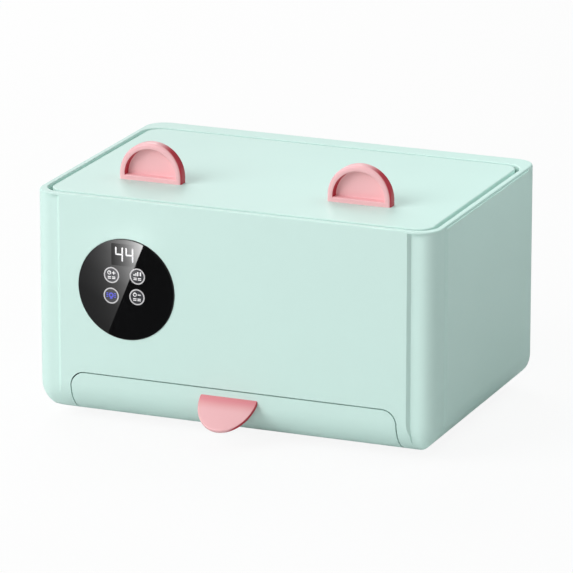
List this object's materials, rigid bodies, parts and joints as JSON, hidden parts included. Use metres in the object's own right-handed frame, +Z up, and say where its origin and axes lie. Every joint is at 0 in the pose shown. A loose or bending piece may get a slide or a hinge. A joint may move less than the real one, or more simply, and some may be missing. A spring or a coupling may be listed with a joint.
{
  "type": "baby wipe warmer",
  "caption": "Rounded mint box that warms baby wipes, with a hinged lid carrying half-round grips, a round touch panel and a bottom-front flap with a pull tongue.",
  "frame": {"origin": "middle of the footprint, tongue included, at the level that the feet stand on", "axes": "+X to the right seen from the front, -Y is the front, +Z is up"},
  "size_m": [0.24, 0.1824, 0.1541],
  "materials": {
    "mint_plastic": "satin moulded ABS",
    "pink_plastic": "satin moulded ABS",
    "white_plastic": "moulded polypropylene",
    "silicone": "soft silicone",
    "foot_rubber": "matte rubber",
    "screw_steel": "zinc plated",
    "pin_steel": "ground",
    "heater_aluminium": "rolled sheet",
    "film": "polyimide film",
    "cutout_ceramic": "moulded case",
    "foam": "closed-cell foam",
    "black_plastic": "moulded nylon",
    "circuit_board": "solder mask",
    "panel_glass": "black back-printed glass",
    "display": "potted display",
    "spring_brass": "plated"
  },
  "bodies": {
    "case": {"housing": "mint_plastic", "top_frame": "mint_plastic", "base_plate": "mint_plastic", "base_screws": "screw_steel", "rubber_feet": "foot_rubber", "inner_tank": "white_plastic", "tank_screws": "screw_steel", "dispensing_lip": "silicone", "wipe_chute": "white_plastic", "heater_plate": "heater_aluminium", "heating_film": "film", "thermal_cutout": "cutout_ceramic", "temperature_sensor": "black_plastic", "floor_insulation": "foam", "wall_insulation": "foam", "power_board": "circuit_board", "power_jack": "black_plastic", "touch_glass": "panel_glass", "panel_holder": "white_plastic", "control_board": "circuit_board", "display_module": "display", "touch_springs": "spring_brass", "board_screws": "screw_steel", "lid_hinge_pins": "pin_steel", "flap_hinge_pins": "pin_steel"},
    "lid": {"lid_panel": "mint_plastic", "lid_liner": "white_plastic", "lid_liner_screws": "screw_steel", "lid_seal": "silicone", "left_ear": "pink_plastic", "right_ear": "pink_plastic", "ear_screws": "screw_steel"},
    "flap_door": {"flap": "mint_plastic", "flap_tongue": "pink_plastic"}
  },
  "joints": [
    {"name": "lid_hinge", "type": "hinge", "parent": "case", "child": "lid", "pos_m": [0, 0.06721, 0.1261], "axis": [-1, 0, 0], "range_deg": [0, 95]},
    {"name": "flap_hinge", "type": "hinge", "parent": "case", "child": "flap_door", "pos_m": [0, -0.07259, 0.0218], "axis": [-1, 0, 0], "range_deg": [0, 60]}
  ]
}
